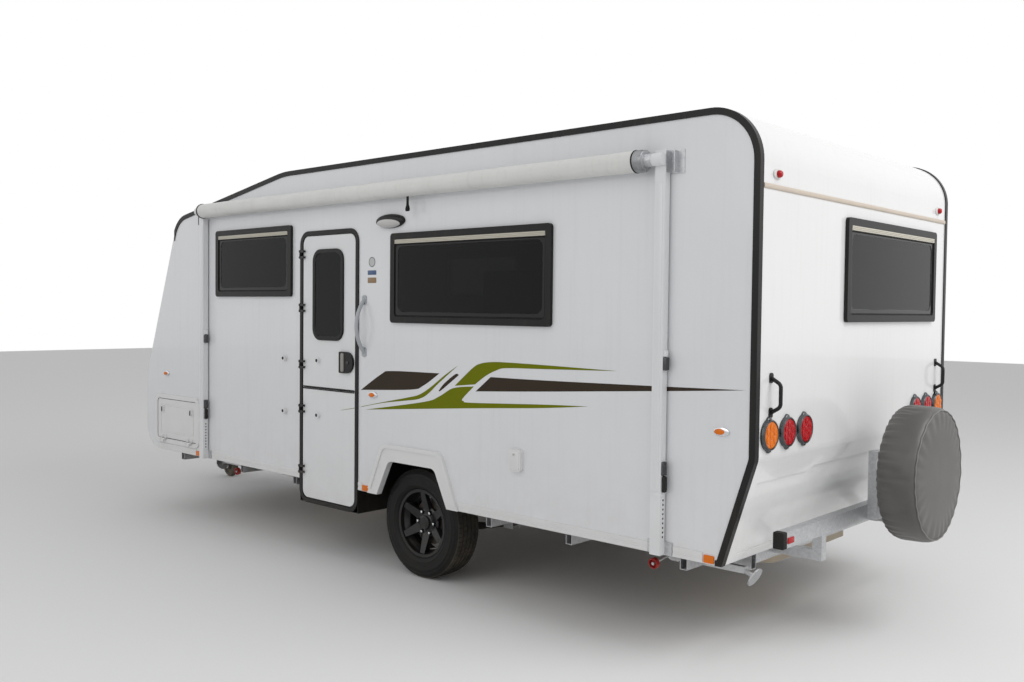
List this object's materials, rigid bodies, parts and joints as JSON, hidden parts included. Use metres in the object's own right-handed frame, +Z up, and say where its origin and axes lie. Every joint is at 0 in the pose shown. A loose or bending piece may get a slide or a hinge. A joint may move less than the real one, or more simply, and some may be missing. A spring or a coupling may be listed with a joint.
{
  "type": "travel caravan",
  "caption": "Travel caravan with a split entrance door, tunnel boot, rolled awning, covered spare wheel, A-frame drawbar, jockey wheel and corner steadies.",
  "frame": {"origin": "middle of the whole vehicle's plan at ground level", "axes": "+X forward to the drawbar, +Y to the door side, +Z up"},
  "size_m": [7.198, 2.5308, 2.784],
  "materials": {
    "white_panel": "gloss white faced sandwich panel",
    "white_moulding": "gloss white moulding",
    "white_plastic": "satin white plastic",
    "black_trim": "satin black extrusion",
    "tinted_pane": "tinted acrylic",
    "floor_ply": "sealed ply and framing",
    "awning_vinyl": "rolled white vinyl",
    "white_metal": "powder-coated white",
    "galvanised": "galvanised steel",
    "black_steel": "black paint",
    "alloy_black": "gloss black alloy",
    "drum_iron": "black-painted iron",
    "tyre_rubber": "road tyre",
    "castor_rubber": "solid rubber",
    "tank_plastic": "natural polyethylene",
    "cover_vinyl": "black vinyl",
    "lamp_red": "red lens",
    "lamp_amber": "amber lens",
    "bottle_grey": "grey enamel",
    "handle_grey": "satin grey",
    "guide_red": "red plastic",
    "cabinet_wood": "pale wood-faced board",
    "seat_fabric": "woven upholstery"
  },
  "bodies": {
    "caravan": {"wheel_arch_flares": "white_moulding", "window_frames": "black_trim", "window_panes": "tinted_pane", "wall_left": "white_panel", "wall_right": "white_panel", "rear_panel": "white_moulding", "front_panel": "white_moulding", "roof_panel": "white_panel", "wheel_boxes": "black_trim", "floor_panel": "floor_ply", "furniture": "cabinet_wood", "cushions": "seat_fabric", "door_frame": "black_trim", "edge_trim": "black_trim", "boot_frames": "white_moulding", "wall_fittings": "white_plastic", "grab_handle": "handle_grey", "rear_handles": "black_trim", "lamps_red": "lamp_red", "lamps_amber": "lamp_amber", "porch_lamp": "black_trim", "awning_roller": "awning_vinyl", "awning_arms": "white_metal", "awning_fittings": "galvanised", "chassis": "galvanised", "leaf_springs": "black_steel", "axle_beam": "black_steel", "coupling": "black_steel", "handbrake": "galvanised", "jockey_tube": "galvanised", "gas_bottles": "bottle_grey", "water_tanks": "tank_plastic", "bumper_bar": "galvanised", "spare_cover": "cover_vinyl", "steady_brackets": "galvanised", "steady_guides": "guide_red", "roof_hatch_frame": "white_plastic", "roof_cooler": "white_plastic"},
    "wheel_left": {"tyre_left": "tyre_rubber", "rim_left": "alloy_black", "brake_drum_left": "drum_iron"},
    "wheel_right": {"tyre_right": "tyre_rubber", "rim_right": "alloy_black", "brake_drum_right": "drum_iron"},
    "door_upper": {"door_upper_leaf": "white_moulding", "door_window": "tinted_pane", "door_lock": "black_trim"},
    "door_lower": {"door_lower_leaf": "white_moulding"},
    "boot_door_left": {"boot_lid_left": "white_moulding"},
    "boot_door_right": {"boot_lid_right": "white_moulding"},
    "roof_hatch": {"roof_hatch_lid": "white_plastic"},
    "steady_rear_left": {"steady_leg_rear_left": "galvanised"},
    "steady_rear_right": {"steady_leg_rear_right": "galvanised"},
    "steady_front_left": {"steady_leg_front_left": "galvanised"},
    "steady_front_right": {"steady_leg_front_right": "galvanised"},
    "jockey_slider": {"jockey_leg": "galvanised"},
    "jockey_castor": {"jockey_fork": "galvanised"},
    "jockey_roller": {"jockey_wheel": "castor_rubber"}
  },
  "joints": [
    {"name": "wheel_left_spin", "type": "hinge", "parent": "caravan", "child": "wheel_left", "pos_m": [-0.914, 0.9845, 0.334], "axis": [0, 1, 0], "continuous": true},
    {"name": "wheel_right_spin", "type": "hinge", "parent": "caravan", "child": "wheel_right", "pos_m": [-0.914, -1.0695, 0.334], "axis": [0, 1, 0], "continuous": true},
    {"name": "door_upper_swing", "type": "hinge", "parent": "caravan", "child": "door_upper", "pos_m": [0.203, 1.1695, 1.64], "axis": [0, 0, -1], "range_deg": [0, 175]},
    {"name": "door_lower_swing", "type": "hinge", "parent": "caravan", "child": "door_lower", "pos_m": [0.203, 1.1695, 0.74], "axis": [0, 0, -1], "range_deg": [0, 175]},
    {"name": "boot_left_fold", "type": "hinge", "parent": "caravan", "child": "boot_door_left", "pos_m": [1.879, 1.1715, 0.57], "axis": [-1, 0, 0], "range_deg": [0, 170]},
    {"name": "boot_right_fold", "type": "hinge", "parent": "caravan", "child": "boot_door_right", "pos_m": [1.879, -1.2565, 0.57], "axis": [1, 0, 0], "range_deg": [0, 170]},
    {"name": "roof_hatch_tilt", "type": "hinge", "parent": "caravan", "child": "roof_hatch", "pos_m": [-0.06, -0.0425, 2.613], "axis": [0, 1, 0], "range_deg": [0, 55]},
    {"name": "steady_rear_left_drop", "type": "hinge", "parent": "caravan", "child": "steady_rear_left", "pos_m": [-2.614, 0.8575, 0.404], "axis": [0, -1, 0], "range_deg": [0, 62]},
    {"name": "steady_rear_right_drop", "type": "hinge", "parent": "caravan", "child": "steady_rear_right", "pos_m": [-2.614, -0.9425, 0.404], "axis": [0, -1, 0], "range_deg": [0, 62]},
    {"name": "steady_front_left_drop", "type": "hinge", "parent": "caravan", "child": "steady_front_left", "pos_m": [1.266, 0.8575, 0.404], "axis": [0, 1, 0], "range_deg": [0, 62]},
    {"name": "steady_front_right_drop", "type": "hinge", "parent": "caravan", "child": "steady_front_right", "pos_m": [1.266, -0.9425, 0.404], "axis": [0, 1, 0], "range_deg": [0, 62]},
    {"name": "jockey_wind", "type": "slide", "parent": "caravan", "child": "jockey_slider", "axis": [0, 0, 1], "range_m": [0, 0.17]},
    {"name": "jockey_swivel", "type": "hinge", "parent": "jockey_slider", "child": "jockey_castor", "pos_m": [3.086, -0.0425, 0.212], "axis": [0, 0, 1], "continuous": true},
    {"name": "jockey_roll", "type": "hinge", "parent": "jockey_castor", "child": "jockey_roller", "pos_m": [3.044, -0.0425, 0.1], "axis": [0, 1, 0], "continuous": true}
  ]
}
